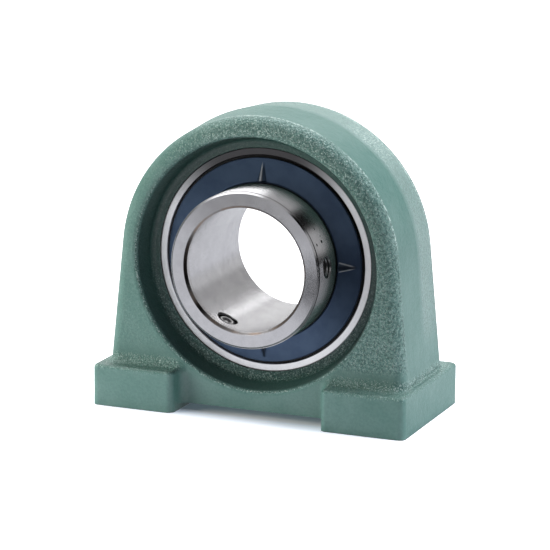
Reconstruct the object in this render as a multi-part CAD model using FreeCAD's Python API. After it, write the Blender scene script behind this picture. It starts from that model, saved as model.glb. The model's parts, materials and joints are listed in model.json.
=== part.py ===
import FreeCAD, Part
import math
import os

from FreeCAD import Vector

# A pillow block bearing with a tapped base: a cast housing on two foot pads, and in its spherical seat a
# ball bearing insert whose long inner ring is locked to the shaft by two set screws.
# Millimetres, +Z up, +X along the base, +Y along the shaft to the back. The origin is on the base plane,
# half way between the two bolt holes and under the middle of the bearing.

# Inner ring, from the shaft outwards
shaft_bore_radius = 22.5
collar_wall = 6.1
inner_ring_front = 30.2
inner_ring_back = 19.0
bore_chamfer = 1.0
collar_chamfer = 0.8

# Balls and raceways
ball_count = 9
ball_diameter = 12.7
groove_depth = 2.46
groove_conformity = 0.52
ball_play = 0.01

# Outer ring
outer_ring_wall = 3.64
outer_ring_chamfer = 0.3
seal_seat_step = 1.9
seal_seat_depth = 2.6

# Riveted ribbon cage
cage_thickness = 0.8
cage_width = 4.2
cage_pocket_gap = 0.15
rivet_radius = 0.9
rivet_head_radius = 1.6
rivet_head_height = 0.7

# Seals and slingers
seal_thickness = 0.6
seal_lip_gap = 0.1
seal_cage_gap = 1.1
slinger_thickness = 0.8
slinger_rim_gap = 0.8
slinger_rim_stand = 0.6
slinger_dish = 1.8
slinger_hub_round = 0.6
slinger_turn = 1.0
rib_count = 4
rib_width = 3.8
rib_height = 1.3
rib_root_offset = 0.1
rib_end_margin = 0.9

# Set screws
screw_radius = 3.95
screw_hole_gap = 0.05
screw_length = 4.0
screw_setback = 0.3
screw_from_front = 8.0
screw_first_angle = 4.5
screw_spacing_angle = 120.0
socket_across_flats = 4.0
socket_depth = 2.2
screw_cup_radius = 2.2
screw_point_chamfer = 0.9

# Seat and recess of the housing
seat_gap = 0.02
seat_width = 23.0
seat_edge_chamfer = 0.3
loading_slot_clearance = 0.3
recess_floor_margin = 2.1
recess_draft = 1.4
recess_mouth_round = 2.0
recess_floor_round = 2.0

# Housing body
rim_wall = 8.4
web_height = 10.0
body_depth = 42.0
body_edge_radius = 4.4
mould_draft = 1.4
side_taper_at_parting = 4.0
side_taper_at_faces = 6.2

# Foot pads
foot_height = 15.2
foot_length = 31.9
foot_front_ledge = 7.75
foot_side_ledge = 3.11
foot_corner_radius = 2.4
foot_edge_radius = 1.4
foot_root_radius = 3.5
foot_side_root_radius = 0.8
relief_height = 2.5

# Tapped holes under the base
bolt_spacing = 90.0
bolt_thread_radius = 7.0
bolt_hole_depth = 25.0
drill_point_angle = 118.0

across = Vector(1, 0, 0)
shaft = Vector(0, 1, 0)
up = Vector(0, 0, 1)

collar_radius = shaft_bore_radius + collar_wall
ball_radius = ball_diameter / 2
groove_radius = groove_conformity * ball_diameter
inner_groove_radius = collar_radius - groove_depth
pitch_radius = inner_groove_radius + ball_play + ball_radius
outer_groove_radius = pitch_radius + ball_radius + ball_play
outer_shoulder_radius = outer_groove_radius - groove_depth
seal_seat_radius = outer_shoulder_radius + seal_seat_step
sphere_radius = outer_groove_radius + outer_ring_wall
cage_reach = ball_radius + cage_pocket_gap + cage_thickness
outer_ring_width = 2 * (cage_reach + seal_cage_gap + seal_seat_depth)

slinger_rim_radius = seal_seat_radius - slinger_rim_gap
slinger_rim_face = outer_ring_width / 2 + slinger_rim_stand
slinger_hub_face = slinger_rim_face + slinger_dish

seat_radius = sphere_radius + seat_gap
recess_floor_radius = sphere_radius + recess_floor_margin
recess_mouth_radius = recess_floor_radius + recess_draft
arch_radius = recess_mouth_radius + rim_wall
centre_height = recess_mouth_radius + web_height
centre = Vector(0, 0, centre_height)


# Profiles of turned pieces are drawn as (radius, distance along the shaft) pairs.
def spot(radius, along):
    return Vector(radius, along, 0)


# An outline through its corners. A corner given as a pair of spots is an arc through the first to the second.
def outline(start, *corners):
    edges = []
    last = spot(*start)
    for corner in corners + (start,):
        if isinstance(corner[0], tuple):
            middle, end = spot(*corner[0]), spot(*corner[1])
            edges.append(Part.Arc(last, middle, end).toShape())
        else:
            end = spot(*corner)
            if end.distanceToPoint(last) > 1e-6:
                edges.append(Part.LineSegment(last, end).toShape())
        last = end
    return Part.Wire(edges)


# A turned piece, in place on the bearing's axis.
def turned(start, *corners):
    solid = Part.Face(outline(start, *corners)).revolve(Vector(0, 0, 0), shaft, 360)
    solid.translate(centre)
    return solid


def mirrored_to_back(solid):
    return solid.mirror(centre, shaft)


# The point at the middle of a quarter round between two spots, bulging away from its centre.
def quarter_middle(centre_spot, radius, angle):
    turn = math.radians(angle)
    return (centre_spot[0] + radius * math.cos(turn), centre_spot[1] + radius * math.sin(turn))


# Housing

# Half the width of the arch at a height below its round top.
def arch_half_width(radius, side_taper, height):
    taper = math.radians(side_taper)
    return radius * math.cos(taper) + (centre_height + radius * math.sin(taper) - height) * math.tan(taper)


# The pads stand out past the body by a narrow ledge at the side and a wider one at the front and back.
def base_length():
    return 2 * (arch_half_width(arch_radius, side_taper_at_parting, foot_height) + foot_side_ledge)


def base_width():
    return body_depth + 2 * foot_front_ledge


# The arch in front view at one depth: round top, and sides that widen evenly down to the base.
def arch_wire(radius, side_taper, depth):
    taper = math.radians(side_taper)
    tangent_x = radius * math.cos(taper)
    tangent_z = centre_height + radius * math.sin(taper)
    base_x = arch_half_width(radius, side_taper, 0)
    low_left, low_right = Vector(-base_x, depth, 0), Vector(base_x, depth, 0)
    left, right = Vector(-tangent_x, depth, tangent_z), Vector(tangent_x, depth, tangent_z)
    top = Vector(0, depth, centre_height + radius)
    return Part.Wire([
        Part.LineSegment(low_left, left).toShape(),
        Part.Arc(left, top, right).toShape(),
        Part.LineSegment(right, low_right).toShape(),
        Part.LineSegment(low_right, low_left).toShape(),
    ])


# The body narrows from its parting line to both faces, as a casting does to leave its mould.
def arch_body():
    front = arch_wire(arch_radius - mould_draft, side_taper_at_faces, -body_depth / 2)
    parting = arch_wire(arch_radius, side_taper_at_parting, 0)
    back = arch_wire(arch_radius - mould_draft, side_taper_at_faces, body_depth / 2)
    body = Part.makeLoft([front, parting], True, True).fuse(Part.makeLoft([parting, back], True, True))
    rims = []
    for edge in body.Edges:
        box = edge.BoundBox
        on_face = abs(abs(box.YMin) - body_depth / 2) < 1e-3 and box.YLength < 1e-3
        if on_face and box.ZMax > 1:
            rims.append(edge)
    return body.makeFillet(body_edge_radius, rims)


# Rounds edges of a shape, each with its own radius at either end.
def rounded(shape, plan):
    document = FreeCAD.newDocument("rounding")
    base = document.addObject("Part::Feature", "base")
    base.Shape = shape
    fillet = document.addObject("Part::Fillet", "fillet")
    fillet.Base = base
    fillet.Edges = plan
    document.recompute()
    result = fillet.Shape.copy()
    FreeCAD.closeDocument(document.Name)
    return result


# One end pad, with well rounded upright corners and its top edges rounded less.
def foot(side):
    length, width = base_length(), base_width()
    pad = Part.makeBox(foot_length, width, foot_height, Vector(length / 2 - foot_length, -width / 2, 0))
    pad = pad.makeFillet(foot_corner_radius, [edge for edge in pad.Edges if edge.BoundBox.ZLength > 1e-3])
    pad = pad.makeFillet(foot_edge_radius, [edge for edge in pad.Edges if edge.BoundBox.ZMin > foot_height - 1e-3])
    if side < 0:
        pad = pad.mirror(Vector(0, 0, 0), across)
    return pad


# Whether an edge lies in the concave corner where the pads leave the body.
def is_root(edge):
    box = edge.BoundBox
    middle = edge.valueAt((edge.FirstParameter + edge.LastParameter) / 2)
    on_face = abs(abs(middle.y) - body_depth / 2) < 1e-3
    on_top = box.ZMin > foot_height - 1e-3
    beside_body = abs(middle.y) < body_depth / 2
    own_edge_of_pad = box.XLength < 1e-3 and box.YLength > body_depth
    inside_pad = abs(middle.x) > base_length() / 2 - foot_length - 1e-3
    low = foot_height + 0.1 > box.ZMax > 1
    return low and inside_pad and not own_edge_of_pad and (on_face or (on_top and beside_body))


# The root is wide on the front and back ledges and runs out to a tighter one on the narrow side ledge.
def with_roots(body):
    plan = []
    for number, edge in enumerate(body.Edges, 1):
        if is_root(edge):
            radii = []
            for end in (edge.firstVertex(), edge.lastVertex()):
                on_face = abs(abs(end.Y) - body_depth / 2) < 1e-3
                room = foot_front_ledge if on_face else foot_side_ledge
                radius = foot_root_radius if on_face else foot_side_root_radius
                radii.append(min(radius, 0.95 * (room - foot_edge_radius)))
            plan.append((number, *radii))
    return rounded(body, plan)


def recess_and_seat():
    front = -body_depth / 2
    outside = foot_front_ledge + foot_edge_radius
    mouth_y = front + recess_mouth_round
    floor_y = -seat_width / 2
    edge_radius = math.sqrt(seat_radius ** 2 - (seat_width / 2) ** 2)
    mouth_middle = quarter_middle((recess_mouth_radius + recess_mouth_round, mouth_y), recess_mouth_round, 225)
    floor_middle = quarter_middle((recess_floor_radius - recess_floor_round, floor_y - recess_floor_round),
                                  recess_floor_round, 45)
    half = [
        (recess_mouth_radius + recess_mouth_round, front - outside),
        (recess_mouth_radius + recess_mouth_round, front),
        (mouth_middle, (recess_mouth_radius, mouth_y)),
        (recess_floor_radius, floor_y - recess_floor_round),
        (floor_middle, (recess_floor_radius - recess_floor_round, floor_y)),
        (edge_radius + seat_edge_chamfer, floor_y),
        (edge_radius, floor_y + seat_edge_chamfer),
    ]
    recess = turned((0, front - outside), *half, (0, floor_y + seat_edge_chamfer))
    seat = Part.makeSphere(seat_radius, centre).common(
        Part.makeCylinder(seat_radius, seat_width, centre - shaft * (seat_width / 2), shaft))
    return recess.fuse(mirrored_to_back(recess)).fuse(seat)


# The insert goes in from the back, turned square to the shaft, through two slots as wide as its outer ring.
def loading_slots():
    width = outer_ring_width + 2 * loading_slot_clearance
    reach = seat_radius + loading_slot_clearance
    slab = Part.makeBox(2 * reach, body_depth / 2, width, Vector(-reach, 0, centre_height - width / 2))
    return slab.common(Part.makeCylinder(reach, body_depth / 2, centre, shaft))


def bolt_hole(x):
    point_depth = bolt_thread_radius / math.tan(math.radians(drill_point_angle / 2))
    hole = Part.makeCylinder(bolt_thread_radius, bolt_hole_depth)
    hole = hole.fuse(Part.makeCone(bolt_thread_radius, 0, point_depth, Vector(0, 0, bolt_hole_depth)))
    hole.translate(Vector(x, 0, 0))
    return hole


def housing():
    body = arch_body().fuse(foot(1)).fuse(foot(-1)).removeSplitter()
    body = with_roots(body)
    gap = base_length() - 2 * foot_length
    relief = Part.makeBox(gap, base_width(), relief_height, Vector(-gap / 2, -base_width() / 2, 0))
    body = body.cut(relief).cut(recess_and_seat()).cut(loading_slots())
    for side in (-1, 1):
        body = body.cut(bolt_hole(side * bolt_spacing / 2))
    return body


# Insert rings

def outer_ring():
    half_width = outer_ring_width / 2
    edge_radius = math.sqrt(sphere_radius ** 2 - half_width ** 2)
    rim_y = half_width - outer_ring_chamfer
    rim_radius = math.sqrt(sphere_radius ** 2 - rim_y ** 2)
    seal_y = half_width - seal_seat_depth
    groove = groove_outline(outer_groove_radius, -1, outer_shoulder_radius)
    return turned(
        (outer_shoulder_radius, groove[0][1]), (groove[1], groove[2]),
        (outer_shoulder_radius, seal_y), (seal_seat_radius, seal_y),
        (seal_seat_radius, half_width - outer_ring_chamfer), (seal_seat_radius + outer_ring_chamfer, half_width),
        (edge_radius - outer_ring_chamfer, half_width), (rim_radius, rim_y),
        ((sphere_radius, 0), (rim_radius, -rim_y)),
        (edge_radius - outer_ring_chamfer, -half_width), (seal_seat_radius + outer_ring_chamfer, -half_width),
        (seal_seat_radius, -half_width + outer_ring_chamfer), (seal_seat_radius, -seal_y),
        (outer_shoulder_radius, -seal_y))


# Start, middle and end of the arc of a raceway, with its bottom at one radius and its ends on a shoulder.
# The side is 1 where the groove opens outwards and -1 where it opens inwards.
def groove_outline(bottom_radius, side, shoulder_radius):
    middle_radius = bottom_radius + side * groove_radius
    half = math.sqrt(groove_radius ** 2 - (shoulder_radius - middle_radius) ** 2)
    return (shoulder_radius, -half), (bottom_radius, 0), (shoulder_radius, half)


def inner_ring():
    front, back = -inner_ring_front, inner_ring_back
    groove = groove_outline(inner_groove_radius, 1, collar_radius)
    ring = turned(
        (shaft_bore_radius, front + bore_chamfer), (shaft_bore_radius + bore_chamfer, front),
        (collar_radius - collar_chamfer, front), (collar_radius, front + collar_chamfer),
        groove[0], (groove[1], groove[2]),
        (collar_radius, back - collar_chamfer), (collar_radius - collar_chamfer, back),
        (shaft_bore_radius + bore_chamfer, back), (shaft_bore_radius, back - bore_chamfer))
    for number in range(2):
        hole = Part.makeCylinder(screw_radius + screw_hole_gap, collar_radius)
        ring = ring.cut(at_screw(hole, 0, number))
    return ring


# Puts a piece that stands up from the origin onto a set screw's line, at a radius from the bearing's axis.
def at_screw(piece, radius, number):
    angle = screw_first_angle - number * screw_spacing_angle
    piece.rotate(Vector(0, 0, 0), shaft, 90)
    piece.translate(Vector(radius, 0, 0))
    piece.rotate(Vector(0, 0, 0), shaft, -angle)
    piece.translate(centre - shaft * (inner_ring_front - screw_from_front))
    return piece


# A short set screw, its cup point towards the shaft and its hexagon socket outwards.
def set_screw(number):
    screw = Part.makeCylinder(screw_radius, screw_length)
    ends = [edge for edge in screw.Edges if edge.BoundBox.ZLength < 1e-3]
    inner = [edge for edge in ends if edge.BoundBox.ZMax < 1e-3]
    screw = screw.makeChamfer(screw_point_chamfer, inner)
    cup = Part.makeCone(screw_cup_radius, 0, screw_cup_radius / 2)
    corner = socket_across_flats / math.sqrt(3)
    hexagon = [Vector(corner * math.cos(math.radians(60 * k)), corner * math.sin(math.radians(60 * k)),
                      screw_length - socket_depth) for k in range(7)]
    socket = Part.Face(Part.makePolygon(hexagon)).extrude(up * socket_depth)
    screw = screw.cut(cup).cut(socket)
    return at_screw(screw, shaft_bore_radius + screw_setback, number)


# Balls and cage

def ball_angle(number):
    return 90 - number * 360 / ball_count


def on_pitch_circle(angle):
    turn = math.radians(angle)
    return centre + Vector(math.cos(turn), 0, math.sin(turn)) * pitch_radius


def ball(number):
    return Part.makeSphere(ball_radius, on_pitch_circle(ball_angle(number)))


def annulus(inner, outer, start, length):
    origin = centre + shaft * start
    return Part.makeCylinder(outer, length, origin, shaft).cut(Part.makeCylinder(inner, length, origin, shaft))


# One half of the cage: a flat ribbon that bulges round each ball, drilled for the rivets between them.
def cage_half():
    pocket = ball_radius + cage_pocket_gap
    inner, outer = pitch_radius - cage_width / 2, pitch_radius + cage_width / 2
    band = annulus(inner, outer, 0, pocket + 2 * cage_thickness)
    half = annulus(inner, outer, 0, cage_thickness)
    for number in range(ball_count):
        half = half.fuse(Part.makeSphere(pocket + cage_thickness, on_pitch_circle(ball_angle(number))).common(band))
    for number in range(ball_count):
        half = half.cut(Part.makeSphere(pocket, on_pitch_circle(ball_angle(number))))
        half = half.cut(rivet_shank(number))
    return half


def rivet_angle(number):
    return ball_angle(number) - 180 / ball_count


def rivet_shank(number):
    origin = on_pitch_circle(rivet_angle(number)) - shaft * cage_thickness
    return Part.makeCylinder(rivet_radius, 2 * cage_thickness, origin, shaft)


# A rivet with a domed head on each side.
def cage_rivet(number):
    place = on_pitch_circle(rivet_angle(number))
    dome_radius = (rivet_head_radius ** 2 + rivet_head_height ** 2) / (2 * rivet_head_height)
    rivet = rivet_shank(number)
    for side in (-1, 1):
        seat = place + shaft * (side * cage_thickness)
        dome = Part.makeSphere(dome_radius, place + shaft * (side * (cage_thickness + rivet_head_height - dome_radius)))
        rivet = rivet.fuse(dome.common(Part.makeCylinder(rivet_head_radius, rivet_head_height, seat, shaft * side)))
    return rivet


# Seals and slingers

# The shield pressed into the outer ring, with a lip that ends just off the inner ring.
def seal():
    seat_y = outer_ring_width / 2 - seal_seat_depth
    step_radius = outer_shoulder_radius - seal_thickness
    lip_radius = collar_radius + seal_lip_gap
    return turned(
        (seal_seat_radius, -seat_y), (seal_seat_radius, -seat_y - 2 * seal_thickness),
        (seal_seat_radius - seal_thickness, -seat_y - 2 * seal_thickness),
        (seal_seat_radius - seal_thickness, -seat_y - seal_thickness),
        (lip_radius + 2 * seal_thickness, -seat_y - seal_thickness), (lip_radius, -seat_y - 2 * seal_thickness),
        (lip_radius, -seat_y), (step_radius, -seat_y))


# How far along the shaft the slinger's front face is, at a radius on its dished part.
def slinger_face(radius):
    hub = collar_radius + slinger_hub_round
    return -slinger_hub_face + slinger_dish * (radius - hub) / (slinger_rim_radius - hub)


# One pressed rib: a ridge that is widest at the hub and runs out to a point near the rim.
def slinger_rib(angle):
    sunk = slinger_thickness / 4
    root = collar_radius + slinger_hub_round + rib_root_offset
    root_y = slinger_face(root)
    left = Vector(root, root_y + sunk, -rib_width / 2)
    right = Vector(root, root_y + sunk, rib_width / 2)
    crest = Vector(root, root_y - rib_height, 0)
    tip_radius = slinger_rim_radius - rib_end_margin
    tip = Vector(tip_radius, slinger_face(tip_radius) + sunk, 0)
    corners = ((left, right, crest), (left, tip, right), (right, tip, crest), (crest, tip, left))
    rib = Part.Solid(Part.Shell([Part.Face(Part.makePolygon([*corner, corner[0]])) for corner in corners]))
    rib.rotate(Vector(0, 0, 0), shaft, -angle)
    rib.translate(centre)
    return rib


# The dished guard disc pressed on the collar, level with the outer ring's face, with its rolled hub and its ribs.
def slinger():
    rim, rim_y, hub_y = slinger_rim_radius, -slinger_rim_face, -slinger_hub_face
    bend = (collar_radius + slinger_hub_round, hub_y + slinger_hub_round)
    disc = turned(
        (collar_radius, hub_y + slinger_hub_round),
        (quarter_middle(bend, slinger_hub_round, 225), (bend[0], hub_y)),
        (rim, rim_y), (rim, rim_y + slinger_thickness),
        (collar_radius, hub_y + slinger_hub_round + slinger_thickness))
    for number in range(rib_count):
        disc = disc.fuse(slinger_rib(slinger_turn + number * 360 / rib_count))
    return disc


def export(name, shape):
    shape.exportStep(f"parts/{name}.step")
    print(name, len(shape.Solids), round(shape.Volume, 1), shape.isValid())


def main():
    os.makedirs("parts", exist_ok=True)
    export("housing", housing())
    export("outer_ring", outer_ring())
    export("inner_ring", inner_ring())
    for number in range(ball_count):
        export(f"ball_{number + 1:02d}", ball(number))
        export(f"cage_rivet_{number + 1:02d}", cage_rivet(number))
    for name, piece in (("cage", cage_half()), ("seal", seal()), ("slinger", slinger())):
        front = mirrored_to_back(piece) if name == "cage" else piece
        back = piece if name == "cage" else mirrored_to_back(piece)
        export(f"{name}_front", front)
        export(f"{name}_back", back)
    export("set_screw_right", set_screw(0))
    export("set_screw_lower", set_screw(1))


main()
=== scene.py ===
import json
import math

import bmesh
import bpy
import numpy as np
from mathutils import Matrix, Vector


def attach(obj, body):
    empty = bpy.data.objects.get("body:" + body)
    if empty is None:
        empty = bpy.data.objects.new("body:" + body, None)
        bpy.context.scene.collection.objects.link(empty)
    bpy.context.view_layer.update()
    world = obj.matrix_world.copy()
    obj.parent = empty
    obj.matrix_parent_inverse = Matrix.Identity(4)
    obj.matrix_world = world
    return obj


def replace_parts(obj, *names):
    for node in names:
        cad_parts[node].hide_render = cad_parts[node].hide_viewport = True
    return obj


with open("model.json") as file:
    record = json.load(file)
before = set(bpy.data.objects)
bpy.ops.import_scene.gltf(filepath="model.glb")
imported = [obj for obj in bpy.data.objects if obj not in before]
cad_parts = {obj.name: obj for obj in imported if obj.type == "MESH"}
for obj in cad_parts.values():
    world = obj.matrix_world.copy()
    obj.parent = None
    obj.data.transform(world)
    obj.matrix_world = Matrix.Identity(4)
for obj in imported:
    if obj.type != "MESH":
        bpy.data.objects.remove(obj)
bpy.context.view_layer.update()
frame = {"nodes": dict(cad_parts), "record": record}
record = frame["record"]
print("frame loaded:", len(frame["nodes"]), "nodes")

# Lengths are in metres unless a note says millimetres. +X runs along the base, +Y along the shaft to the back, +Z up.
mm = 0.001
centreHeight = 56            # mm from the soles to the shaft's axis
shaftHeight = centreHeight * mm
screwAngles = (4.5, -115.5)  # degrees around the shaft, from the right over the top
screwsAlong = -22.2          # mm along the shaft

# the photo's camera, solved from the rings and the corners of the pads
view = {
    "azimuth": 22.2403, "elevation": 12.9920, "roll": 0.47682,   # degrees
    "distance": 1097.654, "right": -0.52065, "up": -7.62960,     # mm, from the middle of the bearing
    "focal": 3026.68, "frame": 550,                              # pixels
    "sensor": 36, "clip": (0.05, 50),                            # mm, and metres
}


def addCamera(v):
    azimuth, elevation, roll = (math.radians(v[k]) for k in ("azimuth", "elevation", "roll"))
    back = Vector((math.sin(azimuth) * math.cos(elevation), -math.cos(azimuth) * math.cos(elevation),
                   math.sin(elevation)))
    right = Vector((math.cos(azimuth), math.sin(azimuth), 0))
    up = back.cross(right)
    tiltedRight = right * math.cos(roll) + up * math.sin(roll)
    tiltedUp = up * math.cos(roll) - right * math.sin(roll)
    place = (back * v["distance"] + tiltedRight * v["right"] + tiltedUp * v["up"]) * mm
    place.z += shaftHeight
    camera = bpy.data.objects.new("camera", bpy.data.cameras.new("camera"))
    camera.data.sensor_width = v["sensor"]
    camera.data.lens = v["focal"] / v["frame"] * v["sensor"]
    camera.data.clip_start, camera.data.clip_end = v["clip"]
    turn = Matrix((tiltedRight, tiltedUp, back)).transposed().to_4x4()
    camera.matrix_world = Matrix.Translation(place) @ turn
    bpy.context.scene.collection.objects.link(camera)
    bpy.context.scene.camera = camera


addCamera(view)
print("camera placed")


# A socket in a node tree. Its operators add Math nodes to the tree.
class Value:
    def __init__(self, shade, socket):
        self.shade, self.socket = shade, socket

    def math(self, operation, *others, clamp=False):
        return self.shade.node("ShaderNodeMath", {"operation": operation, "use_clamp": clamp},
                               {i: v for i, v in enumerate((self,) + others)})

    def __add__(self, other): return self.math("ADD", other)
    def __radd__(self, other): return self.math("ADD", other)
    def __sub__(self, other): return self.math("SUBTRACT", other)
    def __rsub__(self, other): return self.shade.number(other).math("SUBTRACT", self)
    def __mul__(self, other): return self.math("MULTIPLY", other)
    def __rmul__(self, other): return self.math("MULTIPLY", other)
    def __truediv__(self, other): return self.math("DIVIDE", other)
    def __rtruediv__(self, other): return self.shade.number(other).math("DIVIDE", self)
    def __neg__(self): return self.math("MULTIPLY", -1)
    def abs(self): return self.math("ABSOLUTE")
    def clamp(self): return self.math("ADD", 0, clamp=True)
    def sqrt(self): return self.math("SQRT")
    def most(self, other): return self.math("MAXIMUM", other)
    def least(self, other): return self.math("MINIMUM", other)

    # 0 below start and 1 above end, smooth between them
    def rise(self, start, end):
        return self.shade.node("ShaderNodeMapRange", {"interpolation_type": "SMOOTHSTEP"},
                               {"Value": self, "From Min": start, "From Max": end, "To Min": 0, "To Max": 1})

    # 1 near zero and 0 past reach either way
    def nearZero(self, reach):
        return 1 - self.abs().rise(0, reach)


# A node tree that is being built, with the few helpers that the looks below use.
class Shade:
    def __init__(self, owner, coordinates="Object"):
        owner.use_nodes = True
        self.owner, self.tree = owner, owner.node_tree
        self.tree.nodes.clear()
        self.place = self.node("ShaderNodeTexCoord", {}, {}, coordinates)
        self.x, self.y, self.z = (self.node("ShaderNodeSeparateXYZ", {}, {0: self.place}, i) for i in range(3))

    def put(self, socket, value):
        if isinstance(value, Value):
            self.tree.links.new(value.socket, socket)
        elif isinstance(value, (tuple, list)) and socket.type == "RGBA":
            socket.default_value = (*value[:3], 1)
        else:
            socket.default_value = value

    # adds a node: its settings first, then the values or links of its sockets
    def node(self, kind, settings, inputs, output=0):
        new = self.tree.nodes.new(kind)
        for setting, value in settings.items():
            setattr(new, setting, value)
        for socket, value in inputs.items():
            self.put(new.inputs[socket], value)
        return Value(self, new.outputs[output]) if len(new.outputs) else new

    def number(self, value):
        return self.node("ShaderNodeMath", {"operation": "ADD"}, {0: value, 1: 0})

    # noise whose features are about size wide, from 0 to 1
    def noise(self, size, detail=2, rough=0.5, stretch=None):
        place = self.node("ShaderNodeMapping", {}, {"Vector": self.place, "Scale": stretch}) if stretch else self.place
        return self.node("ShaderNodeTexNoise", {}, {"Vector": place, "Scale": 1 / size, "Detail": detail,
                                                    "Roughness": rough})

    # a random number from -0.5 to 0.5 that changes every step along a value, as fine tool marks do
    def marks(self, along, step):
        first = self.node("ShaderNodeTexWhiteNoise", {"noise_dimensions": "1D"}, {"W": along / step})
        second = self.node("ShaderNodeTexWhiteNoise", {"noise_dimensions": "1D"}, {"W": along / step + 7.31})
        return (first + second - 1) * 0.5

    def mix(self, factor, a, b):
        return self.node("ShaderNodeMix", {"data_type": "RGBA", "blend_type": "MIX"}, {0: factor, 6: a, 7: b}, 2)

    # distance from the shaft's axis
    def fromShaft(self):
        height = self.z - shaftHeight
        return (self.x * self.x + height * height).sqrt()

    # height in metres
    def bump(self, height, under=None):
        return self.node("ShaderNodeBump", {}, {"Height": height, "Distance": 1, "Strength": 1,
                                                **({"Normal": under} if under else {})})

    # the surface's normal leaned by (x, y, z) in the part's own frame, for marks too fine to see one by one
    def leaned(self, x, y, z):
        lean = self.node("ShaderNodeCombineXYZ", {}, {"X": x, "Y": y, "Z": z})
        lean = self.node("ShaderNodeVectorTransform", {"vector_type": "VECTOR", "convert_from": "OBJECT",
                                                       "convert_to": "WORLD"}, {0: lean})
        normal = self.node("ShaderNodeNewGeometry", {}, {}, "Normal")
        normal = self.node("ShaderNodeVectorMath", {"operation": "ADD"}, {0: normal, 1: lean})
        return self.node("ShaderNodeVectorMath", {"operation": "NORMALIZE"}, {0: normal})

    def finish(self, **inputs):
        shader = self.node("ShaderNodeBsdfPrincipled", {}, {k.replace("_", " "): v for k, v in inputs.items()})
        self.node("ShaderNodeOutputMaterial", {}, {"Surface": shader})
        return self.owner


def newShade(name):
    return Shade(bpy.data.materials.new(name))


# A pair of lengths is where a mask starts to change and where it has changed: a depth from the middle plane, a radius
# from the shaft, a height, or a distance sideways. A reach is how far a mask goes either way.
casting = {
    # paint and dusty are the paint's own tones, shade is painted shade between the grains; the next line holds a
    # painted grey sheen, painted glints and highlights, and painted shade in the recess, then bare iron
    "paint": (0.060, 0.146, 0.127), "dusty": (0.12, 0.215, 0.195), "shade": (0.024, 0.070, 0.061),
    "paintedBackSheen": (0.3, 0.4, 0.38), "wearAndHighlight": (0.56, 0.69, 0.65), "recessShade": (0.007, 0.040, 0.032),
    "iron": ((0.24, 0.235, 0.23), (0.40, 0.39, 0.38)), "roughness": 0.36, "indexOfRefraction": 1.62,
    # sizes and heights of the sand's grain, and how much of it the smooth parts keep
    "grain": 1.0 * mm, "fineGrain": 0.45 * mm, "lumps": 2.8 * mm, "patches": 14 * mm, "scrape": 0.5 * mm,
    "grainHeight": 0.22 * mm, "fineHeight": 0.05 * mm, "lumpHeight": 0.15 * mm, "smooth": 0.16,
    # front and back face, coarser to the right and at the top; towards the top the painted glints grow and the painted
    # shade between the grains thins, which paints the top lighter
    "faceDepth": (15.4 * mm, 16.4 * mm), "faceRadius": (44 * mm, 46.5 * mm), "faceHeight": (19 * mm, 24 * mm),
    "rightAndTop": (0, 50 * mm), "leftShare": 0.25, "arch": (75 * mm, 100 * mm), "paintedLightOnTop": (80 * mm, 105 * mm),
    # tops of the pads
    "padTop": 16.4 * mm, "padTopReach": 3.6 * mm, "padRadius": (47 * mm, 50 * mm), "padSide": (27 * mm, 30 * mm),
    # recess and its mouth; the recess gets painted shade
    "floorRadius": (44.6 * mm, 45.8 * mm), "floorDepth": (12.6 * mm, 14.2 * mm), "floorHeight": (20 * mm, 60 * mm),
    "mouthRadius": 46.6 * mm, "mouthReach": 0.9 * mm, "mouthDepth": (19.5 * mm, 20.5 * mm),
    "mouthHeight": (50 * mm, 90 * mm), "recessRadius": (46 * mm, 47 * mm), "recessDepth": (19 * mm, 20.5 * mm),
    # outside of the arch: behind the parting line, where a grey sheen is painted, and along each face's edge, where a
    # highlight is painted; the shoulder is a slanting band of painted glints
    "archRadius": (50 * mm, 51.5 * mm), "backDepth": (0, 4 * mm), "backHeight": (20 * mm, 40 * mm),
    "edgeDepth": 16.1 * mm, "edgeReach": 0.8 * mm, "edgeWander": 1.2 * mm, "edgeHeight": (50 * mm, 75 * mm),
    "shoulderSlope": 0.75, "shoulderReach": 22 * mm, "shoulderHeight": (80 * mm, 90 * mm),
    # machined iron
    "sole": (0.05 * mm, 0.2 * mm), "holeAt": 45 * mm, "holeRadius": (7.2 * mm, 7.3 * mm), "holeTop": (29 * mm, 30 * mm),
    "seatRadius": (42.55 * mm, 42.62 * mm),
}
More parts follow.
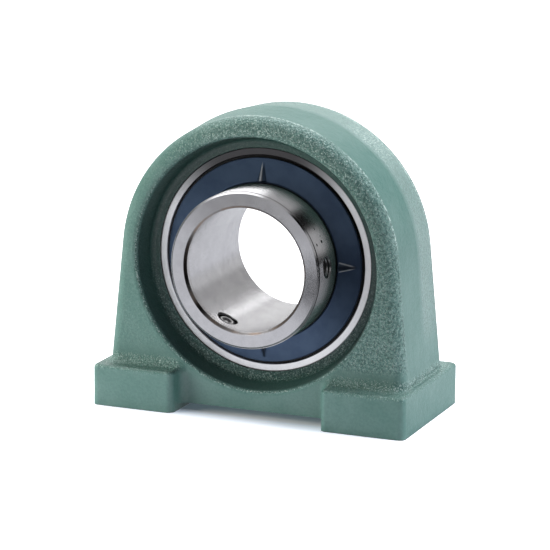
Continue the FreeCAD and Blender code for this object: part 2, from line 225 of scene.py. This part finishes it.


# Green paint over sand-cast iron, with bare machined soles, bolt holes and seat. The sand's grain is coarse on the two
# faces, on the pads' tops, on the recess floor and behind the parting line, and fine elsewhere. Light is painted in
# too:
# shade between the grains and in the recess, glints on the grain, a highlight along each face's edge, and a grey sheen
# behind the parting line.
def castingMaterial(look):
    s = newShade("greenCasting")
    radius, depth = s.fromShaft(), s.y.abs()
    patches = s.noise(look["patches"], 3, 0.6)
    grain = s.noise(look["grain"], 2, 0.6).rise(0.34, 0.66)
    fine = s.noise(look["fineGrain"], 2, 0.6).rise(0.3, 0.7)
    lumps = s.noise(look["lumps"], 2, 0.5)

    onFace = depth.rise(*look["faceDepth"]) * radius.rise(*look["faceRadius"]) * s.z.rise(*look["faceHeight"])
    onFace = onFace * ((s.x + s.z * 0.5).rise(*look["rightAndTop"]) * (1 - look["leftShare"]) + look["leftShare"])
    padTop = (s.z - look["padTop"]).nearZero(look["padTopReach"]) * radius.rise(*look["padRadius"])
    padTop = padTop * s.x.abs().rise(*look["padSide"])
    recessFloor = (1 - radius.rise(*look["floorRadius"])) * (1 - depth.rise(*look["floorDepth"]))
    recessFloor = recessFloor * (1 - s.z.rise(*look["floorHeight"]) * 0.8)
    mouth = (radius - look["mouthRadius"]).nearZero(look["mouthReach"]) * depth.rise(*look["mouthDepth"])
    inRecess = (1 - radius.rise(*look["recessRadius"])) * (1 - depth.rise(*look["recessDepth"]))
    onArch = radius.rise(*look["archRadius"])
    backHalf = s.y.rise(*look["backDepth"]) * onArch * s.z.rise(*look["backHeight"]) * 0.7
    fromEdge = depth - look["edgeDepth"] + (lumps - 0.5) * look["edgeWander"]
    highlightedEdge = fromEdge.nearZero(look["edgeReach"]) * onArch * s.z.rise(*look["edgeHeight"])
    shoulder = (s.x - (s.z - shaftHeight) * look["shoulderSlope"]).nearZero(look["shoulderReach"])
    shoulder = shoulder * s.z.rise(*look["shoulderHeight"])
    coarse = look["smooth"]
    for mask in (onFace, padTop, recessFloor, mouth, highlightedEdge, backHalf):
        coarse = mask.most(coarse)

    colour = s.mix(patches.rise(0.35, 0.7) * 0.35, look["paint"], look["dusty"])
    colour = s.mix(grain.rise(0.55, 0.95) * coarse * 0.6, colour, look["dusty"])
    # painted shade between the grains, less of it on the pads' tops and towards the top of the arch, to paint the top
    # lighter
    paintedGrainShade = grain.rise(0.48, 0.12) * coarse
    paintedGrainShade = paintedGrainShade * (1 - padTop * 0.6) * (0.72 - s.z.rise(*look["paintedLightOnTop"]) * 0.3)
    colour = s.mix(paintedGrainShade, colour, look["shade"])
    # painted glints on the grain: more towards the top, on the pads' tops, at the mouth and along the back's shoulder
    paintedGlints = onFace * (s.z.rise(*look["arch"]) * 0.3 + 0.28)
    paintedGlints = paintedGlints.most(padTop * 0.7).most(recessFloor * 0.35)
    paintedGlints = paintedGlints.most(mouth * (0.8 - s.z.rise(*look["mouthHeight"]) * 0.5))
    paintedGlints = paintedGlints.most(backHalf * (shoulder * 1.1 + 0.3))
    # painted grey sheen on the back half, behind the parting line
    colour = s.mix(backHalf * 0.3, colour, look["paintedBackSheen"])
    # painted shade in the recess
    colour = s.mix(inRecess * 0.85, colour, look["recessShade"])
    # the painted glints go on here
    colour = s.mix(fine.rise(0.68, 0.92) * paintedGlints * 0.85, colour, look["wearAndHighlight"])
    # painted highlight along each face's edge
    colour = s.mix(highlightedEdge * patches.rise(0.38, 0.6) * grain.rise(0.2, 0.8) * 0.75, colour, look["wearAndHighlight"])

    fromHole = s.x.abs() - look["holeAt"]
    inHole = 1 - (fromHole * fromHole + s.y * s.y).sqrt().rise(*look["holeRadius"])
    inHole = inHole * (1 - s.z.rise(*look["holeTop"]))
    onSeat = 1 - (radius * radius + s.y * s.y).sqrt().rise(*look["seatRadius"])
    bare = (1 - s.z.rise(*look["sole"])).most(inHole).most(onSeat)
    iron = s.mix(s.noise(look["scrape"], 2, 0.5, (1, 12, 1)).rise(0.3, 0.7), *look["iron"])
    height = (grain * look["grainHeight"] + fine * look["fineHeight"]) * coarse + lumps * look["lumpHeight"]
    return s.finish(Base_Color=s.mix(bare, colour, iron), Roughness=look["roughness"] + fine * 0.08 - bare * 0.02,
                    Metallic=bare * 0.9, IOR=look["indexOfRefraction"], Normal=s.bump(height * (1 - bare * 0.97)))


toolMarkStep = 0.011 * mm   # from one turned or ground line to the next


# Turned or ground steel: marks too fine to see lean the surface along the shaft and away from it. dish leans a whole
# face outwards, and taper leans the outside towards the nearer end.
def steelMaterial(name, look):
    s = newShade(name)
    radius = s.fromShaft()
    blotch = s.noise(5 * mm, 3, 0.6)
    colour = s.mix(blotch.rise(0.3, 0.7), look["dark"], look["light"])
    rough = look["roughness"] + blotch * 0.06
    outwards = (s.marks(radius, toolMarkStep) * look["faceMarks"] + look.get("dish", 0)) / radius
    endwards = s.marks(s.y, toolMarkStep)
    # painted shade over the top of the ring's front face
    if "paintedTopShade" in look:
        high = ((s.z - shaftHeight - s.x * 0.1) / radius).rise(*look["topShadeTurn"]) * (-s.y).rise(*look["topShadeFace"])
        colour = s.mix(high, colour, look["paintedTopShade"])
    if "outside" in look:
        onOutside = radius.rise(*look["outside"])
        toEnd = (s.y.rise(-1 * mm, 1 * mm) - 0.5) * 2
        endwards = endwards * (look["roundMarks"] + onOutside * (look["outsideMarks"] - look["roundMarks"]))
        endwards = endwards + onOutside * toEnd * look["taper"]
        rough = rough + onOutside * look["outsideRough"]
    else:
        endwards = endwards * look["roundMarks"]
    normal = s.leaned(s.x * outwards, endwards, (s.z - shaftHeight) * outwards)
    if "pits" in look:
        pitted = 0
        for angle, along, size in look["pits"]:
            turn = math.radians(angle)
            away = [s.x - look["pitRadius"] * math.cos(turn), s.y - along * mm,
                    s.z - shaftHeight - look["pitRadius"] * math.sin(turn)]
            away = (away[0] * away[0] + away[1] * away[1] + away[2] * away[2]).sqrt()
            pitted = (1 - away.rise(size * 0.6 * mm, size * 1.2 * mm)).most(pitted)
        colour = s.mix(pitted * 0.9, colour, look["pit"])
        normal = s.bump(pitted * look["pitDepth"], normal)
        # painted shade where the collar goes into the slinger
        colour = s.mix((s.y - look["joinAt"]).nearZero(look["joinReach"]) * onOutside * 0.9, colour, look["joinShade"])
        # the bore's chamfer, darker, with a faint straw tint along it
        fromRim, toFront = radius - look["rimRadius"], -s.y
        chamfer = fromRim.nearZero(look["chamferReach"]) * toFront.rise(*look["chamferFrom"])
        colour = s.mix(chamfer * 0.8, colour, look["chamfer"])
        tint = fromRim.nearZero(look["tintReach"]) * toFront.rise(*look["tintFrom"])
        colour = s.mix(tint * s.noise(7 * mm, 1).rise(0.4, 0.6) * 0.6, colour, look["tint"])
    return s.finish(Base_Color=colour, Metallic=1, Roughness=rough, Normal=normal)


# Thin blue-black coating on a pressed steel disc. Its ribs carry a painted highlight along the top one's crest and the
# right one's edges, and painted shade between those edges and on the bottom one.
def coatingMaterial(look):
    s = newShade("slingerCoating")
    speck = s.noise(0.5 * mm, 2, 0.6)
    colour = s.mix(s.noise(9 * mm, 3, 0.6).rise(0.3, 0.7), look["dark"], look["light"])
    height = s.z - shaftHeight
    start = look["ribStart"]
    onRib = 1 - s.fromShaft().rise(*look["ribEnd"])
    # distances from the middle lines of the upright ribs and of the one on the right, and that one's half width
    fromUpright, fromRight = s.x + height * look["ribTurn"], (height - s.x * look["ribTurn"]).abs()
    rightHalf = (look["ribPoint"] - s.x) * look["ribSlope"]
    crestHalf = (look["crestPoint"] - height) * look["crestSlope"] + look["crestLeast"]
    crest = (fromUpright + look["crestAside"]).nearZero(crestHalf) * height.rise(*start) * onRib
    edges = (fromRight - rightHalf).nearZero(look["edgeReach"]) * s.x.rise(*start)
    edges = edges * (1 - s.x.rise(*look["edgeEnd"])) * onRib
    inside = s.x.rise(*start) * (1 - (fromRight / (rightHalf + look["least"])).rise(0.7, 0.9)) * onRib
    belowHalf = (height + look["crestPoint"]) * look["belowSlope"] + look["belowLeast"]
    below = fromUpright.nearZero(belowHalf) * (-height).rise(*start) * onRib
    # painted shade inside the right rib's edges and along the bottom rib
    colour = s.mix(inside.most(below).clamp() * 0.7, colour, look["black"])
    # painted highlight along the top rib's crest and the right rib's edges
    colour = s.mix(crest * 0.8 + edges * 0.8, colour, look["wearAndHighlight"])
    return s.finish(Base_Color=colour, Metallic=look["metallic"], Roughness=look["roughness"] + speck * 0.08,
                    Coat_Weight=0.35, Coat_Roughness=0.25, Normal=s.bump(speck * look["speckHeight"]))


def rubberMaterial(look):
    s = newShade("sealRubber")
    speck = s.noise(0.4 * mm, 2, 0.6)
    return s.finish(Base_Color=s.mix(speck, look["dark"], look["light"]), Roughness=look["roughness"] + speck * 0.15,
                    Normal=s.bump(speck * look["speckHeight"]))


# Blackened screws. The rim of the cup is rubbed bright and carries a painted highlight, and its middle a painted
# highlight: rings by distance from the screw's own line.
def blackenedMaterial(look):
    s = newShade("blackenedSteel")
    speck = s.noise(0.6 * mm, 3, 0.6)
    x, along, z = s.x, s.y - screwsAlong * mm, s.z - shaftHeight
    fromLine, height = 1, 1
    for angle in screwAngles:
        turn = math.radians(angle)
        sideways, up = z * math.cos(turn) - x * math.sin(turn), x * math.cos(turn) + z * math.sin(turn)
        otherSide = 1 - up.rise(0, 5 * mm)
        fromLine = ((sideways * sideways + along * along).sqrt() + otherSide).least(fromLine)
        height = (up + otherSide).least(height)
    # rubbed rim, and painted highlights on the rim and the middle
    wearAndHighlight = (fromLine - look["rimRadius"]).nearZero(look["rimReach"]).most(1 - fromLine.rise(*look["middle"]))
    wearAndHighlight = wearAndHighlight * (1 - height.rise(*look["innerEnd"]))
    colour = s.mix(speck.rise(0.35, 0.65), look["dark"], look["light"])
    return s.finish(Base_Color=s.mix(wearAndHighlight, colour, look["bright"]), Metallic=1,
                    Roughness=look["roughness"] + speck * 0.2, Normal=s.bump(speck * look["speckHeight"]))


ring = {
    "dark": (0.84, 0.835, 0.84), "light": (0.93, 0.925, 0.93), "roughness": 0.3, "faceMarks": 0.3, "roundMarks": 0.2,
    # painted shade over the top of the front face: its colour, where it sets in around the ring, and in depth
    "dish": 0.06, "paintedTopShade": (0.09, 0.088, 0.09), "topShadeTurn": (0.45, 0.95), "topShadeFace": (10.5 * mm, 10.9 * mm),
}
collar = {
    "dark": (0.48, 0.475, 0.49), "light": (0.53, 0.525, 0.54), "roughness": 0.14, "faceMarks": 0.35, "roundMarks": 0.6,
    "dish": 0.16, "outside": (28.3 * mm, 28.5 * mm), "outsideMarks": 0.5, "outsideRough": 0.04, "taper": 0.8,
    # each pit's angle around the shaft, millimetres along it, and millimetres across
    "pits": ((23.6, -22.3, 0.6), (22.9, -27.0, 0.46), (33.9, -23.3, 0.4), (27.5, -21.5, 0.22)),
    "pit": (0.02, 0.02, 0.02), "pitRadius": 28.6 * mm, "pitDepth": -0.08 * mm,
    # painted shade at the join with the slinger
    "joinShade": (0.03, 0.03, 0.032), "joinAt": -13.6 * mm, "joinReach": 1.6 * mm,
    "rimRadius": 23.0 * mm, "chamfer": (0.14, 0.13, 0.125), "chamferReach": 0.75 * mm,
    "chamferFrom": (27 * mm, 28 * mm), "tint": (0.27, 0.19, 0.135), "tintReach": 0.7 * mm,
    "tintFrom": (26 * mm, 29 * mm),
}
ball = {"dark": (0.72, 0.72, 0.73), "light": (0.8, 0.8, 0.81), "roughness": 0.06, "faceMarks": 0, "roundMarks": 0}
cage = {
    "dark": (0.38, 0.38, 0.385), "light": (0.52, 0.52, 0.52), "roughness": 0.34, "faceMarks": 0.2, "roundMarks": 0.2,
}
coating = {
    # the coating's own tones, then painted shade for the ribs; the next line holds their painted highlight
    "dark": (0.032, 0.06, 0.115), "light": (0.048, 0.083, 0.145), "black": (0.006, 0.008, 0.012),
    "wearAndHighlight": (0.45, 0.47, 0.5), "metallic": 0.8, "roughness": 0.26, "speckHeight": 0.01 * mm,
    # ribs: slopes are half widths per length, which run out at the points
    "ribTurn": 0.0175, "ribStart": (29.2 * mm, 29.8 * mm), "ribEnd": (34 * mm, 36.5 * mm), "ribPoint": 36.4 * mm,
    "ribSlope": 0.24, "least": 0.01 * mm, "edgeReach": 0.42 * mm, "edgeEnd": (33 * mm, 36 * mm),
    "crestPoint": 36.6 * mm, "crestSlope": 0.13, "crestLeast": 0.15 * mm, "crestAside": 0.1 * mm,
    "belowSlope": 0.2, "belowLeast": 0.2 * mm,
}
rubber = {
    "dark": (0.012, 0.012, 0.013), "light": (0.03, 0.03, 0.031), "roughness": 0.55, "speckHeight": 0.02 * mm,
}
blackened = {
    # bright is the rubbed rim's steel and the painted highlights of rim and middle
    "dark": (0.05, 0.05, 0.055), "light": (0.16, 0.155, 0.15), "bright": (0.68, 0.68, 0.68), "roughness": 0.32,
    "speckHeight": 0.02 * mm, "rimRadius": 2.15 * mm, "rimReach": 0.55 * mm, "middle": (0.5 * mm, 0.9 * mm),
    "innerEnd": (24.2 * mm, 24.6 * mm),
}

looks = {
    "housing_casting": castingMaterial(casting),
    "outer_ring_steel": steelMaterial("groundSteel", ring),
    "inner_ring_steel": steelMaterial("collarSteel", collar),
    "ball_steel": steelMaterial("polishedSteel", ball),
    "cage_steel": steelMaterial("pressedSteel", cage),
    "seal_rubber": rubberMaterial(rubber),
    "slinger_coating": coatingMaterial(coating),
    "screw_steel": blackenedMaterial(blackened),
}
slotOf = {part["node"]: part["material_slot"] for part in record["subparts"]}
for node, thing in frame["nodes"].items():
    for slot in thing.material_slots:
        slot.material = looks[slotOf[node]]
print("materials made:", len(looks))


# A mesh from a grid of points (rows, columns, 3). Rows close into a loop when along is true, columns when around is
# true. A row at a pole is one point repeated, and is merged.
def surface(name, points, around, along, look):
    rows, columns = points.shape[:2]
    index = np.arange(rows * columns).reshape(rows, columns)
    if along:
        index = np.concatenate([index, index[:1]], 0)
    if around:
        index = np.concatenate([index, index[:, :1]], 1)
    quads = np.stack([index[:-1, :-1], index[:-1, 1:], index[1:, 1:], index[1:, :-1]], -1).reshape(-1, 4)
    mesh = bpy.data.meshes.new(name)
    mesh.from_pydata(points.reshape(-1, 3).tolist(), [], quads.tolist())
    thing = bpy.data.objects.new(name, mesh)
    bpy.context.scene.collection.objects.link(thing)
    tidy = bmesh.new()
    tidy.from_mesh(mesh)
    bmesh.ops.remove_doubles(tidy, verts=tidy.verts, dist=1e-7)
    bmesh.ops.dissolve_degenerate(tidy, edges=tidy.edges, dist=1e-8)
    bmesh.ops.recalc_face_normals(tidy, faces=tidy.faces)
    tidy.to_mesh(mesh)
    tidy.free()
    mesh.shade_smooth()
    mesh.materials.append(looks[look])
    return thing


# Points along a polyline through the corners, at most a step apart, with every corner kept.
def resampled(corners, step):
    corners = np.asarray(corners, float)
    runs = np.linalg.norm(np.diff(corners, axis=0), axis=1)
    parts = [np.linspace(corners[i], corners[i + 1], max(2, int(math.ceil(run / step)) + 1))[:-1]
             for i, run in enumerate(runs) if run > 1e-9]
    return np.concatenate(parts + [corners[-1:]])


slinger = {   # millimetres, as the CAD disc
    "hub": 28.6, "rim": 37.5, "hubFace": 13.4, "rimFace": 11.6, "thickness": 0.8, "inset": 0.02, "round": 0.6,
    "rimRound": 0.15, "columns": 480, "frontStep": 0.22, "backStep": 1.5,
    "ribs": 4, "turn": 1.0, "ribHalf": 2.1, "ribHeight": 1.25, "ribStart": 29.3, "ribEnd": 36.4, "ribFoot": 0.25,
    "crestFrom": 0.72, "crestDrop": 1.6, "flank": 1.08, "runOut": 0.8,
}


# Turned section (radius, depth) swept around the shaft. Each rib lifts the front by its height times a ridge across its
# half width, and both fall to nothing at its point. share is 1 on the ridge's middle line and 0 at its sides: the
# ridge is a smooth flank up to crestFrom, and from there a parabola that tops out at 1.
def slingerDisc(name, side, v):
    bend = np.linspace(math.radians(180), math.radians(270), 7)
    hub = np.stack([v["hub"] + v["round"] * (1 + np.cos(bend)), -v["hubFace"] + v["round"] * (1 + np.sin(bend))], 1)
    rim = [(v["rim"] - v["rimRound"], -v["rimFace"]), (v["rim"], -v["rimFace"] + v["rimRound"])]
    front = resampled([hub[-1], *rim], v["frontStep"])[1:]
    back = resampled([(v["rim"], -v["rimFace"] + v["thickness"] - v["inset"]),
                      (v["hub"], -v["hubFace"] + v["round"] + v["thickness"] - v["inset"])], v["backStep"])
    section = np.concatenate([hub, front, back])
    onFront = np.concatenate([np.ones(len(hub) + len(front)), np.zeros(len(back))])[:, None]
    angle = np.linspace(0, 2 * math.pi, v["columns"], endpoint=False)[None, :]
    radius, depth = section[:, :1], section[:, 1:]
    step = 2 * math.pi / v["ribs"]
    offCentre = (angle - math.radians(v["turn"]) + step / 2) % step - step / 2
    across = radius * np.sin(offCentre)
    reach = np.clip((radius - v["ribStart"]) / (v["ribEnd"] - v["ribStart"]), 0, 1)
    half = v["ribHalf"] * (1 - reach) + 1e-6
    share = np.clip(1 - np.abs(across) / half, 0, 1)
    ridge = np.where(share > v["crestFrom"], 1 - v["crestDrop"] * (1 - share) ** 2,
                     share * share * (3 - 2 * share) * v["flank"])
    foot = np.clip((radius - v["ribStart"] + v["ribFoot"]) / v["ribFoot"], 0, 1)
    lift = v["ribHeight"] * (1 - reach) ** v["runOut"] * np.clip(ridge, 0, 1) * foot * onFront
    y = (depth - lift) * side
    points = np.stack([radius * np.cos(angle), y + 0 * angle, centreHeight + radius * np.sin(angle)], -1) * mm
    disc = surface(name, points, True, True, "slinger_coating")
    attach(disc, "insert_inner")
    return disc


for side, word in ((1, "front"), (-1, "back")):
    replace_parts(slingerDisc(f"slinger_disc_{word}", side, slinger), f"slinger_{word}")
print("slingers made")


screw = {   # millimetres; radii from the screw's own line, heights from the shaft's axis
    "inner": 22.8, "length": 4.0, "pitch": 1.25, "crest": 3.66, "root": 3.2, "columns": 96,
    "cup": 2.1, "cupDepth": 1.0, "cupRim": 0.15, "tip": 2.9, "tipHeight": 0.35,
    "threadFrom": 0.5, "threadTo": 0.3, "threadRows": 46, "runIn": 0.8, "runOutFrom": 0.25, "runOut": 0.4,
    "flats": 4.0, "endFace": 2.95, "lead": 0.18, "leadDepth": 0.16, "socket": 2.2,
    "drillShare": 0.4, "drillDepths": (0.35, 0.6),
}
screwHole = {   # millimetres
    "bore": 22.5, "outer": 28.6, "pitch": 1.25, "root": 4.0, "crest": 3.72, "runOut": 0.3, "rows": 70, "columns": 96,
}
hair = 0.01   # mm between a sleeve's thread and the plain hole's wall; the sleeve's back is 3 of these behind the wall


# 1 on a crest and 0 at a root, with a flat on each: a triangle wave along a helix, cut off above and below.
def threadRidge(height, angle, pitch):
    turn = (height / pitch - angle / (2 * math.pi)) % 1
    return np.clip(1.5 * np.abs(2 * turn - 1) - 0.25, 0, 1)


# Local sideways, along-shaft and upward places to the part's own frame, for a line at an angle around the shaft.
def onScrewLine(tangent, along, height, angle):
    turn = math.radians(angle)
    x = height * math.cos(turn) - tangent * math.sin(turn)
    z = height * math.sin(turn) + tangent * math.cos(turn)
    return np.stack([x, along + screwsAlong, z + centreHeight], -1) * mm


# Distance from the middle of a hexagon to its side, at an angle.
def hexRadius(angle, flats):
    sector = math.pi / 3
    return flats / 2 / np.cos((angle + sector / 2) % sector - sector / 2)


# Rows of (radius, height) around the screw's line, from the middle of the cup out over the tip, up the thread, over
# the end and down the socket. The thread's radius is its root plus a helical ridge that fades at both ends.
def setScrew(name, angle, v):
    around = np.linspace(0, 2 * math.pi, v["columns"], endpoint=False)
    low, high = v["inner"], v["inner"] + v["length"]
    start = [(0, low + v["cupDepth"]), (v["cup"] * 0.5, low + v["cupDepth"] * 0.5), (v["cup"], low),
             (v["cup"] + v["cupRim"], low), (v["tip"], low + v["tipHeight"])]
    body = np.linspace(low + v["threadFrom"], high - v["threadTo"], v["threadRows"])
    fade = np.clip((body - low - v["threadFrom"]) / v["runIn"], 0, 1)
    fade = fade * np.clip((high - v["runOutFrom"] - body) / v["runOut"], 0, 1)
    ridge = threadRidge(body[:, None], around[None, :], v["pitch"])
    threaded = v["root"] + (v["crest"] - v["root"]) * ridge * fade[:, None]
    hexagon = hexRadius(around, v["flats"])
    bottom = high - v["socket"]
    end = [(v["endFace"], high), (hexagon + v["lead"], high), (hexagon, high - v["leadDepth"]), (hexagon, bottom),
           (hexagon * v["drillShare"], bottom - v["drillDepths"][0]), (0, bottom - v["drillDepths"][1])]
    rows = start + list(zip(threaded, body)) + end
    radius = np.array([r + 0 * around for r, h in rows])
    height = np.array([h + 0 * around for r, h in rows])
    points = onScrewLine(radius * np.cos(around), radius * np.sin(around), height, angle)
    return surface(name, points, True, False, "screw_steel")


# A sleeve just inside the plain hole: its inner side is the thread, and its ends follow the bore and the collar.
def threadedWall(name, angle, v, look):
    around = np.linspace(0, 2 * math.pi, v["columns"], endpoint=False)[None, :]
    tangent = v["root"] * np.cos(around)
    low, high = np.sqrt(v["bore"] ** 2 - tangent ** 2), np.sqrt(v["outer"] ** 2 - tangent ** 2)
    height = low + (high - low) * np.linspace(0, 1, v["rows"])[:, None]
    fade = np.clip((height - low) / v["runOut"], 0, 1) * np.clip((high - height) / v["runOut"], 0, 1)
    inner = v["root"] - hair - (v["root"] - v["crest"]) * threadRidge(height, around, v["pitch"]) * fade
    outer = v["root"] + 3 * hair + 0 * around
    radius = np.concatenate([inner, outer, outer])
    height = np.concatenate([height, high - 2 * hair, low + 2 * hair])
    points = onScrewLine(radius * np.cos(around), radius * np.sin(around), height, angle)
    return surface(name, points, True, True, look)


for angle, word in zip(screwAngles, ("right", "lower")):
    piece = setScrew(f"socket_screw_{word}", angle, screw)
    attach(piece, f"set_screw_{word}")
    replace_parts(piece, f"set_screw_{word}")
    wall = threadedWall(f"screw_thread_{word}", angle, screwHole, "inner_ring_steel")
    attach(wall, "insert_inner")
print("set screws and their threads made")


bolt = {   # millimetres
    "spacing": 90, "outer": 7.0, "inner": 6.05, "pitch": 2.0, "start": 0.05, "depth": 22.0, "rows": 150, "columns": 72,
    "runInFrom": 0.2, "runIn": 1.2, "runOut": 2,
}


# A tapped wall inside each hole under the base: a helical ridge from the thread's outer radius inwards.
def boltThread(name, x, v):
    around = np.linspace(0, 2 * math.pi, v["columns"], endpoint=False)[None, :]
    height = np.linspace(v["start"], v["depth"], v["rows"])[:, None] + 0 * around
    fade = np.clip((height - v["runInFrom"]) / v["runIn"], 0, 1) * np.clip((v["depth"] - height) / v["runOut"], 0, 1)
    inner = v["outer"] - hair - (v["outer"] - v["inner"]) * threadRidge(height, around, v["pitch"]) * fade
    outer = v["outer"] + 3 * hair + 0 * around
    radius = np.concatenate([inner, outer, outer])
    height = np.concatenate([height, height[-1:], height[:1]])
    points = np.stack([x + radius * np.cos(around), radius * np.sin(around), height], -1) * mm
    wall = surface(name, points, True, True, "housing_casting")
    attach(wall, "housing")
    return wall


for side, word in ((-1, "left"), (1, "right")):
    boltThread(f"bolt_thread_{word}", side * bolt["spacing"] / 2, bolt)
print("bolt threads made")


# The lamps light the object plainly. Shiny surfaces see a white room instead: bands by angle around the shaft, from the
# right over the top to the left, the same right above the object, and a few soft boxes. Levels of 1 are white.
studio = {
    # lamps: azimuth from the front to the right and elevation in degrees, metres away, watts, size, colour
    "lamps": {
        "key": ((-60, 10), 0.36, 1.75, 0.28, (1, 0.97, 0.88)),
        "right": ((98, 24), 0.75, 6.0, 0.35, (1, 0.94, 1)),
        "top": ((180, 72), 0.75, 7.6, 0.4, (1, 0.985, 1)),
    },
    "skyDiffuse": (0.02, 0.024, 0.03),   # what the sky adds to matt surfaces
    # bands: from and to in degrees, level behind the object, level in front of it
    "bands": ((-5, 20, 0.8, 0.0), (20, 40, 0.55, 0.2), (40, 60, 0.56, 0.0), (60, 82, 0.45, 0.24),
              (82, 93, 2.9, 0.25), (93, 155, 1.1, 0.5), (155, 190, 1.05, 0.35)),
    "above": ((9, 36, 0.62), (62, 155, 0.58), (155, 190, 0.4)),
    "bandBlur": 2.5, "behind": (0.45, 0.8), "ahead": (0.3, 0.5),
    # soft boxes: azimuth and elevation, half width in degrees, level; softCore is the share of the width at full level
    "softBoxes": (((-90, 60), 32, 2.6), ((-120, 30), 20, 0.35), ((-150, 45), 20, 0.65)), "softCore": 0.4,
}
# Distances in metres. A pair is where something is 0 and where it is 1.
floorLook = {
    "size": 12.0, "colour": (0.72, 0.72, 0.72), "footprint": (0.05, 0.021),
    # what the camera sees, a painted shadow: levels under the object, beside it and far away, and a painted bluish
    # shade between
    "shadow": (0.02, 0.86, 1.0), "shadowEdge": (-0.002, 0.016), "shadowFar": (0.0, 0.25), "shadowBlue": (0.25, 0.6),
    # what reflections see: levels near the object, behind it, and in front of it to the left and right
    "near": 0.95, "back": 0.97, "frontLeft": 0.85, "frontRight": 0.02, "darkRight": 0.93,
    "rightwards": (-0.09, -0.01), "nearRight": (0.01, 0.04), "backwards": (-0.08, 0.06), "farOff": (0.12, 0.2),
    # light that the floor throws back onto the object, and a painted shadow in it and in reflections under the
    # footprint
    "bounce": 1.3, "bounceEnd": (0.06, 0.16), "bounceBlue": 0.08,
    "tint": (1.02, 1.07), "underEdge": (0, 0.02), "under": 0.25,
}
middle = Vector((0, 0, 0.05))


def direction(azimuth, elevation):
    azimuth, elevation = math.radians(azimuth), math.radians(elevation)
    flat = math.cos(elevation)
    return Vector((math.sin(azimuth) * flat, -math.cos(azimuth) * flat, math.sin(elevation)))


# One white square. Its glow is a painted shadow: nearly out under the object's footprint, with a painted bluish shade
# between, and white away from it. Reflections see it darker to the right and in front.
def addFloor(v):
    half = v["size"] / 2
    mesh = bpy.data.meshes.new("floor")
    mesh.from_pydata([(-half, -half, 0), (half, -half, 0), (half, half, 0), (-half, half, 0)], [], [(0, 1, 2, 3)])
    floor = bpy.data.objects.new("floor", mesh)
    bpy.context.scene.collection.objects.link(floor)
    s = newShade("whiteFloor")
    toCamera = s.node("ShaderNodeLightPath", {}, {}, "Is Camera Ray")
    glossy = s.node("ShaderNodeLightPath", {}, {}, "Is Glossy Ray")
    outX, outY = ((place.abs() - size).most(0) for place, size in zip((s.x, s.y), v["footprint"]))
    away = (outX * outX + outY * outY).sqrt()
    distance = (s.x * s.x + s.y * s.y).sqrt()

    under, beside, far = v["shadow"]
    # the camera sees a painted shadow: dark under the footprint, with a painted bluish shade where it fades
    glow = under + away.rise(*v["shadowEdge"]) * (beside - under) + away.rise(*v["shadowFar"]) * (far - beside)
    shadowBlue = glow * (1 - glow)
    green, blue = (glow + shadowBlue * share for share in v["shadowBlue"])
    seen = s.node("ShaderNodeCombineColor", {}, {0: glow, 1: green, 2: blue})

    behind = s.y.rise(*v["backwards"])
    right = (s.x + s.y * 0.16).rise(*v["rightwards"])
    front = v["frontLeft"] + right * (v["frontRight"] - v["frontLeft"])
    reflected = front + behind * (v["back"] - front)
    close = v["near"] * (1 - s.x.rise(*v["nearRight"]) * (1 - behind) * v["darkRight"])
    reflected = close + distance.rise(*v["farOff"]) * (reflected - close)

    others = (1 - toCamera - glossy).clamp()
    light = glossy * reflected + others * v["bounce"] * (1 - distance.rise(*v["bounceEnd"]))
    # painted shadow: reflections and bounce light see the floor darker under the footprint
    light = light * (away.rise(*v["underEdge"]) * (1 - v["under"]) + v["under"])
    green, blue = light * v["tint"][0], light * (v["tint"][1] + others * v["bounceBlue"])
    light = s.node("ShaderNodeCombineColor", {}, {0: light, 1: green, 2: blue})
    mesh.materials.append(s.finish(Base_Color=s.mix(glossy, v["colour"], (0, 0, 0)), Roughness=1,
                                   Specular_IOR_Level=0, Emission_Strength=1,
                                   Emission_Color=s.mix(toCamera, light, seen)))


# The camera sees plain white. Diffuse light sees skyDiffuse, and reflections see the bands and soft boxes.
def addSky(v):
    world = bpy.data.worlds.new("studio")
    bpy.context.scene.world = world
    s = Shade(world, "Generated")
    toCamera = s.node("ShaderNodeLightPath", {}, {}, "Is Camera Ray")
    through = s.node("ShaderNodeLightPath", {}, {}, "Is Transmission Ray")
    glossy = s.node("ShaderNodeLightPath", {}, {}, "Is Glossy Ray")
    around = s.z.math("ARCTAN2", s.x) * (180 / math.pi)
    behind, ahead = s.y.rise(*v["behind"]), (-s.y).rise(*v["ahead"])
    rightAbove = 1 - behind - ahead
    levels = [(low, high, behind * back + ahead * front) for low, high, back, front in v["bands"]]
    levels += [(low, high, level * rightAbove) for low, high, level in v["above"]]
    seen = 0
    for low, high, level in levels:
        band = around.rise(low - v["bandBlur"], low + v["bandBlur"])
        band = band * (1 - around.rise(high - v["bandBlur"], high + v["bandBlur"]))
        seen = band * level + seen
    for aimed, wide, level in v["softBoxes"]:
        along = s.node("ShaderNodeVectorMath", {"operation": "DOT_PRODUCT"}, {0: s.place, 1: direction(*aimed)}, 1)
        edge, core = (math.cos(math.radians(wide * share)) for share in (1, v["softCore"]))
        seen = along.rise(edge, core) * level + seen
    colour = s.mix(glossy, v["skyDiffuse"], s.node("ShaderNodeCombineColor", {}, {0: seen, 1: seen, 2: seen}))
    colour = s.mix((toCamera + through).clamp(), colour, (1, 1, 1))
    background = s.node("ShaderNodeBackground", {}, {"Color": colour})
    s.node("ShaderNodeOutputWorld", {}, {"Surface": background})


# An area lamp aimed at the middle of the object. No reflection shows it.
def addLamp(name, aimed, distance, power, size, colour):
    lamp = bpy.data.lights.new(name, "AREA")
    lamp.size, lamp.energy, lamp.color = size, power, colour
    item = bpy.data.objects.new(name, lamp)
    away = direction(*aimed)
    item.location = middle + away * distance
    item.rotation_euler = away.to_track_quat("Z", "Y").to_euler()
    item.visible_glossy = False
    bpy.context.scene.collection.objects.link(item)


addFloor(floorLook)
addSky(studio)
for name, settings in studio["lamps"].items():
    addLamp(name, *settings)
bpy.context.scene.view_settings.view_transform = "Standard"
print("studio lit")
